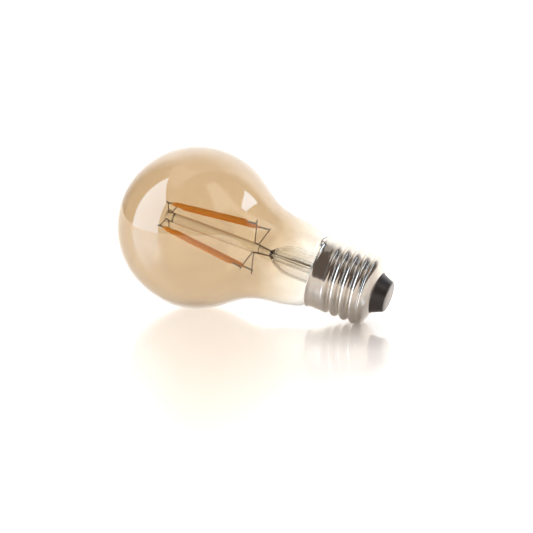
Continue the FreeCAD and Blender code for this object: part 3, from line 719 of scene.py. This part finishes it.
def blend(fac, a, b):
    x = nt.nodes.new("ShaderNodeMix")
    x.data_type = "RGBA"
    for k, v in (("A", a), ("B", b)):
        if isinstance(v, tuple):
            x.inputs[k].default_value = v + (1,)
        else:
            nt.links.new(v, x.inputs[k])
    nt.links.new(fac, x.inputs["Factor"])
    return x.outputs["Result"]


az = math_node(nt, "MULTIPLY", math_node(nt, "ARCTAN2", X, math_node(nt, "MULTIPLY", Y, -1.0)), 180 / math.pi)
el = math_node(nt, "MULTIPLY", math_node(nt, "ARCSINE", Z), 180 / math.pi)
BACK, DARK, CEIL = (1.35, 1.35, 1.35), (0.125, 0.10, 0.084), (0.42, 0.39, 0.36)
# behind the lamp: white low down, mid grey towards the zenith
overhead = blend(smoothstep(el, 36.0, 74.0), BACK, CEIL)
wedge = math_node(nt, "MULTIPLY", smoothstep(az, -140.0, -106.0), smoothstep(az, 152.0, 128.0))
wedge = math_node(nt, "MULTIPLY", wedge, smoothstep(el, -1.5, 1.5))
sky = blend(wedge, overhead, DARK)
# the wedge closes over the lamp: everything close to the zenith on the camera's side is dark
over = math_node(nt, "MULTIPLY", smoothstep(Y, 0.02, -0.10), smoothstep(el, 55.0, 68.0))
sky = blend(over, sky, DARK)
# two soft overhead panels on the camera's side, one to the left and one to the right
left_panel = math_node(nt, "MULTIPLY", smoothstep(az, -132.0, -114.0), smoothstep(az, -26.0, -40.0))
sky = blend(math_node(nt, "MULTIPLY", left_panel, smoothstep(el, 54.0, 64.0)), sky, (0.62, 0.60, 0.58))
right_panel = math_node(nt, "MULTIPLY", smoothstep(az, 46.0, 58.0), smoothstep(az, 94.0, 82.0))
right_panel = math_node(nt, "MULTIPLY", right_panel, math_node(nt, "MULTIPLY", smoothstep(el, 24.0, 34.0), smoothstep(el, 74.0, 64.0)))
sky = blend(right_panel, sky, (0.95, 0.93, 0.91))
path = nt.nodes.new("ShaderNodeLightPath")
sky = blend(path.outputs["Is Camera Ray"], sky, (1.05, 1.05, 1.05))
nt.links.new(sky, bg.inputs["Color"])
bg.inputs["Strength"].default_value = 1.0

# tall softbox standing to the left and in front
G = np.array([GX / 1000, 0, 0.03])
mdir = np.array([-0.992, 0.1267, 0.0])
tdir = np.array([0.1267, 0.992, 0.0])
DIST = 1.6
lo_t, hi_t = -2.076 * DIST, -0.35 * DIST
H = 1.789 * DIST
centre = G + mdir * DIST + tdir * (lo_t + hi_t) / 2 + np.array([0, 0, H / 2])
ld = bpy.data.lights.new("softbox", "AREA")
ld.shape = "RECTANGLE"
ld.size = hi_t - lo_t
ld.size_y = H + 0.03
softbox = bpy.data.objects.new("softbox", ld)
scene.collection.objects.link(softbox)
z = mdir
x = tdir
y = np.cross(z, x)
softbox.matrix_world = Matrix(((x[0], y[0], z[0], centre[0]), (x[1], y[1], z[1], centre[1]), (x[2], y[2], z[2], centre[2]), (0, 0, 0, 1)))
SOFT_RADIANCE = 3.0
ld.energy = SOFT_RADIANCE * math.pi * ld.size * ld.size_y
ld.color = (0.74, 0.95, 1.20)
softbox.visible_diffuse = False

# a window's reflection card, to the right and behind
card_dirs = [(127.0, 33.0), (123.0, 38.8), (113.0, 38.2), (104.0, 37.2), (90.0, 33.0), (91.0, 28.5), (107.0, 32.5)]
origin = np.array([0.0, 0.0, 0.025])
pts = []
for a_, e_ in card_dirs:
    a_, e_ = math.radians(a_), math.radians(e_)
    pts.append(origin + 1.6 * np.array([math.sin(a_) * math.cos(e_), -math.cos(a_) * math.cos(e_), math.sin(e_)]))
card = mesh_object("window_card", pts + [sum(pts) / len(pts)], [(k, (k + 1) % 7, 7) for k in range(7)], False)
cm = bpy.data.materials.new("window_glow")
cm.use_nodes = True
cm.node_tree.nodes.clear()
ce = cm.node_tree.nodes.new("ShaderNodeEmission")
ce.inputs["Color"].default_value = (0.76, 1.0, 1.3, 1)
ce.inputs["Strength"].default_value = 3.4
co = cm.node_tree.nodes.new("ShaderNodeOutputMaterial")
cm.node_tree.links.new(ce.outputs[0], co.inputs["Surface"])
card.data.materials.append(cm)
card.visible_diffuse = False
card.visible_camera = False

# camera
eps, al, D, F = math.radians(13.99), math.radians(20.83), 0.4914, 1363.6
back = Vector((math.sin(al) * math.cos(eps), -math.cos(al) * math.cos(eps), math.sin(eps)))
right = Vector((math.cos(al), math.sin(al), 0))
up = back.cross(right)
target = Vector(((26.73 + GX) / 1000, 0, 0.01740))
pos = target + back * D
cd = bpy.data.cameras.new("camera")
cam = bpy.data.objects.new("camera", cd)
scene.collection.objects.link(cam)
cam.matrix_world = Matrix(((right.x, up.x, back.x, pos.x), (right.y, up.y, back.y, pos.y), (right.z, up.z, back.z, pos.z), (0, 0, 0, 1)))
cd.sensor_width = 36
cd.lens = F * 36 / 533
cd.clip_start = 0.01
cd.clip_end = 50
scene.camera = cam
